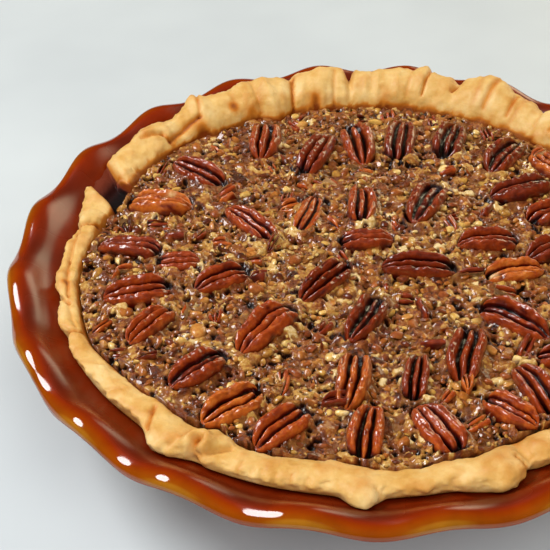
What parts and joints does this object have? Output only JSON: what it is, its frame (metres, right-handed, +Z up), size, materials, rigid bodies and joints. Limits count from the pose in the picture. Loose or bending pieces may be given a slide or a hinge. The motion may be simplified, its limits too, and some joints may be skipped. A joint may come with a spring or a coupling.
{
  "type": "pecan pie in a ruffled pie dish",
  "caption": "Whole baked pecan pie with pecan halves on a rough nut filling and a folded pastry rim, in its own brown glazed pie dish with a ruffled rim.",
  "frame": {"origin": "middle of the dish's flat foot, on the surface it stands on", "axes": "+Z up; the pie's front is at -Y and the split in its pastry rim is at the left, near -X"},
  "size_m": [0.2846, 0.2846, 0.0641],
  "materials": {
    "glaze": "gloss",
    "pastry": "satin",
    "custard": "satin",
    "pecan": "satin"
  },
  "bodies": {
    "root": {"dish": "glaze", "crust": "pastry", "filling": "custard", "pecan_01": "pecan", "pecan_02": "pecan", "pecan_03": "pecan", "pecan_04": "pecan", "pecan_05": "pecan", "pecan_06": "pecan", "pecan_07": "pecan", "pecan_08": "pecan", "pecan_09": "pecan", "pecan_10": "pecan", "pecan_11": "pecan", "pecan_12": "pecan", "pecan_13": "pecan", "pecan_14": "pecan", "pecan_15": "pecan", "pecan_16": "pecan", "pecan_17": "pecan", "pecan_18": "pecan", "pecan_19": "pecan", "pecan_20": "pecan", "pecan_21": "pecan", "pecan_22": "pecan", "pecan_23": "pecan", "pecan_24": "pecan", "pecan_25": "pecan", "pecan_26": "pecan", "pecan_27": "pecan", "pecan_28": "pecan", "pecan_29": "pecan", "pecan_30": "pecan", "pecan_31": "pecan", "pecan_32": "pecan", "pecan_33": "pecan", "pecan_34": "pecan", "pecan_35": "pecan", "pecan_36": "pecan", "pecan_37": "pecan", "pecan_38": "pecan", "pecan_39": "pecan", "pecan_40": "pecan", "pecan_41": "pecan", "pecan_42": "pecan", "pecan_43": "pecan", "pecan_44": "pecan"}
  },
  "joints": []
}
